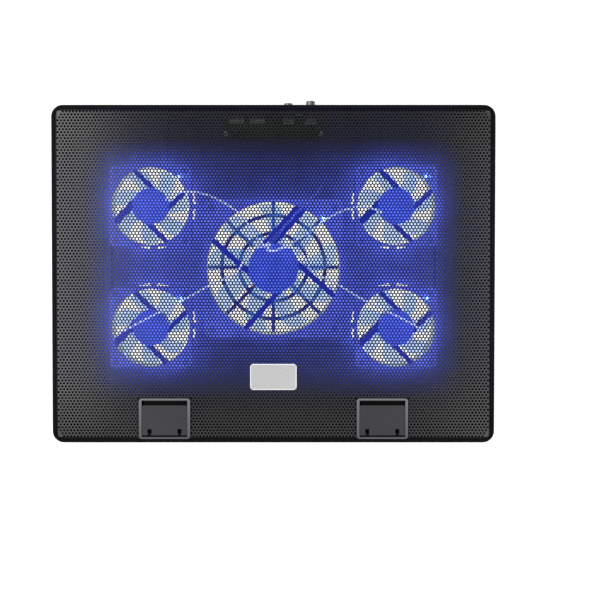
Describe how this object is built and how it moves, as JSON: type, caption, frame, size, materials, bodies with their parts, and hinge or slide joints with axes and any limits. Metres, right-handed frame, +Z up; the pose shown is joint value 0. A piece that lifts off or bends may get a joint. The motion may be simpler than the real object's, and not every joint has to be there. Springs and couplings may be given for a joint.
{
  "type": "laptop cooling pad",
  "caption": "Flat cooling stand for a laptop: fans under a perforated steel top, flip-up front stoppers, fold-out rear legs, rear knobs and sockets.",
  "frame": {"origin": "on the desk plane, under the middle of the 380 x 290 mm body (the knobs stand out behind it)", "axes": "+X to the right along the body's width, +Y to the rear edge with the controls, -Y to the front edge with the laptop stoppers, +Z up"},
  "size_m": [0.38, 0.2953, 0.028],
  "materials": {
    "black_plastic": "fine-textured moulded ABS",
    "black_steel": "satin black powder coat",
    "silver_plate": "brushed, bright edge",
    "flap_plastic": "satin moulded ABS",
    "fan_black": "moulded fan plastic",
    "clear_blade": "clear moulded plastic",
    "bright_steel": "ground steel",
    "sintered_bronze": "oil-filled sintered",
    "ferrite": "bonded ferrite",
    "lamination": "stamped steel",
    "copper_wire": "enamelled copper",
    "circuit_board": "green solder mask",
    "blue_led": "lit blue epoxy",
    "zinc_screw": "zinc-plated",
    "black_screw": "black oxide",
    "white_wire": "PVC insulation",
    "black_wire": "PVC insulation",
    "white_nylon": "nylon",
    "nickel_shell": "nickel-plated",
    "rubber_black": "matt",
    "knob_black": "glossy moulded",
    "clear_lens": "clear epoxy"
  },
  "bodies": {
    "chassis": {"base_shell": "black_plastic", "top_frame": "black_plastic", "mesh_panel": "black_steel", "badge": "silver_plate", "stopper_bezel_left": "black_plastic", "stopper_bezel_right": "black_plastic", "stopper_hinge_pins": "bright_steel", "fan_frame_center": "fan_black", "fan_frame_rear_left": "fan_black", "fan_frame_rear_right": "fan_black", "fan_frame_front_left": "fan_black", "fan_frame_front_right": "fan_black", "bearing_sleeves": "sintered_bronze", "fan_stators": "lamination", "fan_coils": "copper_wire", "fan_circuit_boards": "circuit_board", "fan_leds": "blue_led", "fan_screws": "black_screw", "case_screws": "black_screw", "control_board": "circuit_board", "board_screws": "zinc_screw", "board_components": "black_plastic", "usb_socket_shells": "nickel_shell", "usb_socket_tongues": "white_nylon", "speed_controls": "black_plastic", "light_switch": "black_plastic", "power_indicator": "clear_lens", "lead_header": "white_nylon", "lead_plug": "white_nylon", "main_lead": "black_wire", "corner_fan_leads": "white_wire", "splice_sleeve": "rubber_black", "rubber_feet": "rubber_black", "leg_hinge_pins": "bright_steel"},
    "rotor_center": {"impeller_center": "clear_blade", "rotor_shaft_center": "bright_steel", "magnet_ring_center": "ferrite"},
    "rotor_rear_left": {"impeller_rear_left": "clear_blade", "rotor_shaft_rear_left": "bright_steel", "magnet_ring_rear_left": "ferrite"},
    "rotor_rear_right": {"impeller_rear_right": "clear_blade", "rotor_shaft_rear_right": "bright_steel", "magnet_ring_rear_right": "ferrite"},
    "rotor_front_left": {"impeller_front_left": "clear_blade", "rotor_shaft_front_left": "bright_steel", "magnet_ring_front_left": "ferrite"},
    "rotor_front_right": {"impeller_front_right": "clear_blade", "rotor_shaft_front_right": "bright_steel", "magnet_ring_front_right": "ferrite"},
    "control_center_fan": {"knob_center_fan": "knob_black", "knob_shaft_center_fan": "bright_steel"},
    "control_corner_fans": {"knob_corner_fans": "knob_black", "knob_shaft_corner_fans": "bright_steel"},
    "button": {"light_button": "knob_black"},
    "stopper_left": {"stopper_flap_left": "flap_plastic"},
    "stopper_right": {"stopper_flap_right": "flap_plastic"},
    "leg_left": {"support_leg_left": "black_plastic", "leg_tip_left": "rubber_black"},
    "leg_right": {"support_leg_right": "black_plastic", "leg_tip_right": "rubber_black"}
  },
  "joints": [
    {"name": "spin_center", "type": "hinge", "parent": "chassis", "child": "rotor_center", "pos_m": [0, 0.005, 0.014], "axis": [0, 0, 1], "continuous": true},
    {"name": "spin_rear_left", "type": "hinge", "parent": "chassis", "child": "rotor_rear_left", "pos_m": [-0.106, 0.0585, 0.014], "axis": [0, 0, 1], "continuous": true},
    {"name": "spin_rear_right", "type": "hinge", "parent": "chassis", "child": "rotor_rear_right", "pos_m": [0.106, 0.0585, 0.014], "axis": [0, 0, 1], "continuous": true},
    {"name": "spin_front_left", "type": "hinge", "parent": "chassis", "child": "rotor_front_left", "pos_m": [-0.106, -0.0465, 0.014], "axis": [0, 0, 1], "continuous": true},
    {"name": "spin_front_right", "type": "hinge", "parent": "chassis", "child": "rotor_front_right", "pos_m": [0.106, -0.0465, 0.014], "axis": [0, 0, 1], "continuous": true},
    {"name": "turn_center_fan", "type": "hinge", "parent": "chassis", "child": "control_center_fan", "pos_m": [0.013, 0.14, 0.011], "axis": [0, 1, 0], "range_deg": [0, 280]},
    {"name": "turn_corner_fans", "type": "hinge", "parent": "chassis", "child": "control_corner_fans", "pos_m": [0.0324, 0.14, 0.011], "axis": [0, 1, 0], "range_deg": [0, 280]},
    {"name": "press_light_button", "type": "slide", "parent": "chassis", "child": "button", "axis": [0, -1, 0], "range_m": [0, 0.0008], "stiffness_N_per_m": 800},
    {"name": "raise_stopper_left", "type": "hinge", "parent": "chassis", "child": "stopper_left", "pos_m": [-0.0935, -0.1376, 0.0261], "axis": [1, 0, 0], "range_deg": [0, 95]},
    {"name": "raise_stopper_right", "type": "hinge", "parent": "chassis", "child": "stopper_right", "pos_m": [0.0935, -0.1376, 0.0261], "axis": [1, 0, 0], "range_deg": [0, 95]},
    {"name": "fold_leg_left", "type": "hinge", "parent": "chassis", "child": "leg_left", "pos_m": [-0.12, 0.138, 0.0042], "axis": [1, 0, 0], "range_deg": [0, 100]},
    {"name": "fold_leg_right", "type": "hinge", "parent": "chassis", "child": "leg_right", "pos_m": [0.12, 0.138, 0.0042], "axis": [1, 0, 0], "range_deg": [0, 100]}
  ]
}
